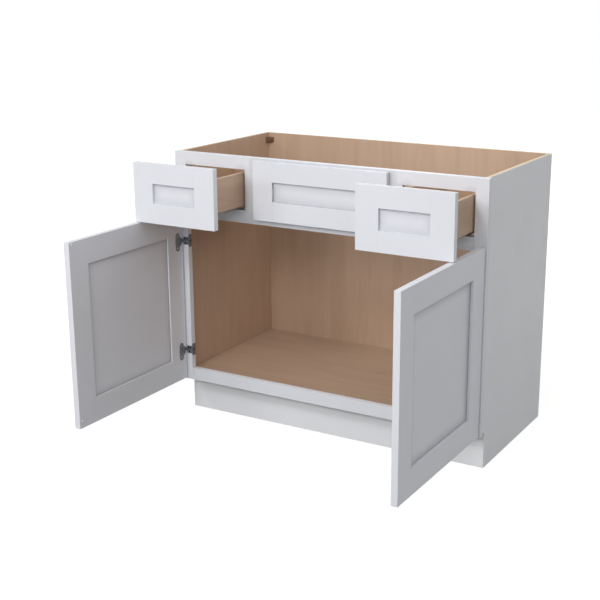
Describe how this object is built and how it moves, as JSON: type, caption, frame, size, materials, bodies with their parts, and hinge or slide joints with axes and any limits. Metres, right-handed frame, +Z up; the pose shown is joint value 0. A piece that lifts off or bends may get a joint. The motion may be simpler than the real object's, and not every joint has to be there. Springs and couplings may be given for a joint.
{
  "type": "sink base cabinet",
  "caption": "Face-framed sink base cabinet with two shaker doors, a drawer each side of a fixed false front, an open top and a recessed toe kick.",
  "frame": {"origin": "on the floor, at the middle of the cabinet's width, in the plane of the face frame's front; it is also the bottom centre of the rest pose's bounding box, because the open doors reach as far forward as the box reaches back", "axes": "+X towards the cabinet's right-hand side as seen from the front, +Y from the front towards the wall, +Z up"},
  "size_m": [1.067, 1.064, 0.876],
  "materials": {
    "white_paint": "satin white paint on wood",
    "side_panel": "plywood, white outside and clear-coated birch inside",
    "birch_ply": "clear-coated birch plywood",
    "drawer_maple": "clear-coated solid maple",
    "drawer_ply": "clear-coated plywood",
    "brown_plastic": "moulded, matte",
    "nickel": "nickel-plated pressed steel",
    "pin_steel": "bright steel",
    "zinc_steel": "zinc-plated rolled steel",
    "bumper_rubber": "clear soft pad"
  },
  "bodies": {
    "cabinet": {"side_panel_left": "side_panel", "side_panel_right": "side_panel", "bottom_panel": "birch_ply", "back_panel": "birch_ply", "toe_board": "white_paint", "frame_stile_left": "white_paint", "frame_stile_right": "white_paint", "frame_bottom_rail": "white_paint", "frame_mid_rail": "white_paint", "frame_top_rail": "white_paint", "frame_mullion_left": "white_paint", "frame_mullion_right": "white_paint", "false_front_stile_left": "white_paint", "false_front_stile_right": "white_paint", "false_front_bottom_rail": "white_paint", "false_front_top_rail": "white_paint", "false_front_panel": "white_paint", "corner_braces": "brown_plastic", "hinge_arms": "nickel", "slide_cabinet_members": "zinc_steel"},
    "left_door": {"left_door_hinge_stile": "white_paint", "left_door_lock_stile": "white_paint", "left_door_bottom_rail": "white_paint", "left_door_top_rail": "white_paint", "left_door_panel": "white_paint", "left_door_hinge_cups": "nickel", "left_door_hinge_pins": "pin_steel", "left_door_bumpers": "bumper_rubber"},
    "left_drawer": {"left_drawer_front_stile_left": "white_paint", "left_drawer_front_stile_right": "white_paint", "left_drawer_front_bottom_rail": "white_paint", "left_drawer_front_top_rail": "white_paint", "left_drawer_front_panel": "white_paint", "left_drawer_box_front": "drawer_maple", "left_drawer_side_left": "drawer_maple", "left_drawer_side_right": "drawer_maple", "left_drawer_box_back": "drawer_maple", "left_drawer_bottom": "drawer_ply", "left_drawer_slide_rails": "zinc_steel"},
    "left_slide_middles": {"left_drawer_slide_middles": "zinc_steel"},
    "right_door": {"right_door_hinge_stile": "white_paint", "right_door_lock_stile": "white_paint", "right_door_bottom_rail": "white_paint", "right_door_top_rail": "white_paint", "right_door_panel": "white_paint", "right_door_hinge_cups": "nickel", "right_door_hinge_pins": "pin_steel", "right_door_bumpers": "bumper_rubber"},
    "right_drawer": {"right_drawer_front_stile_left": "white_paint", "right_drawer_front_stile_right": "white_paint", "right_drawer_front_bottom_rail": "white_paint", "right_drawer_front_top_rail": "white_paint", "right_drawer_front_panel": "white_paint", "right_drawer_box_front": "drawer_maple", "right_drawer_side_left": "drawer_maple", "right_drawer_side_right": "drawer_maple", "right_drawer_box_back": "drawer_maple", "right_drawer_bottom": "drawer_ply", "right_drawer_slide_rails": "zinc_steel"},
    "right_slide_middles": {"right_drawer_slide_middles": "zinc_steel"}
  },
  "joints": [
    {"name": "left_door_hinge", "type": "hinge", "parent": "cabinet", "child": "left_door", "pos_m": [-0.5215, -0.012, 0.4], "axis": [0, 0, 1], "range_deg": [-15, 90]},
    {"name": "right_door_hinge", "type": "hinge", "parent": "cabinet", "child": "right_door", "pos_m": [0.5215, -0.012, 0.4], "axis": [0, 0, 1], "range_deg": [-90, 15]},
    {"name": "left_drawer_slide", "type": "slide", "parent": "cabinet", "child": "left_drawer", "axis": [0, -1, 0], "range_m": [-0.196, 0.234]},
    {"name": "left_middle_slide", "type": "slide", "parent": "cabinet", "child": "left_slide_middles", "axis": [0, -1, 0], "range_m": [-0.098, 0.117]},
    {"name": "right_drawer_slide", "type": "slide", "parent": "cabinet", "child": "right_drawer", "axis": [0, -1, 0], "range_m": [-0.196, 0.234]},
    {"name": "right_middle_slide", "type": "slide", "parent": "cabinet", "child": "right_slide_middles", "axis": [0, -1, 0], "range_m": [-0.098, 0.117]}
  ],
  "couplings": [
    {"joint": "left_middle_slide", "follows": "left_drawer_slide", "ratio": 0.5},
    {"joint": "right_middle_slide", "follows": "right_drawer_slide", "ratio": 0.5}
  ]
}
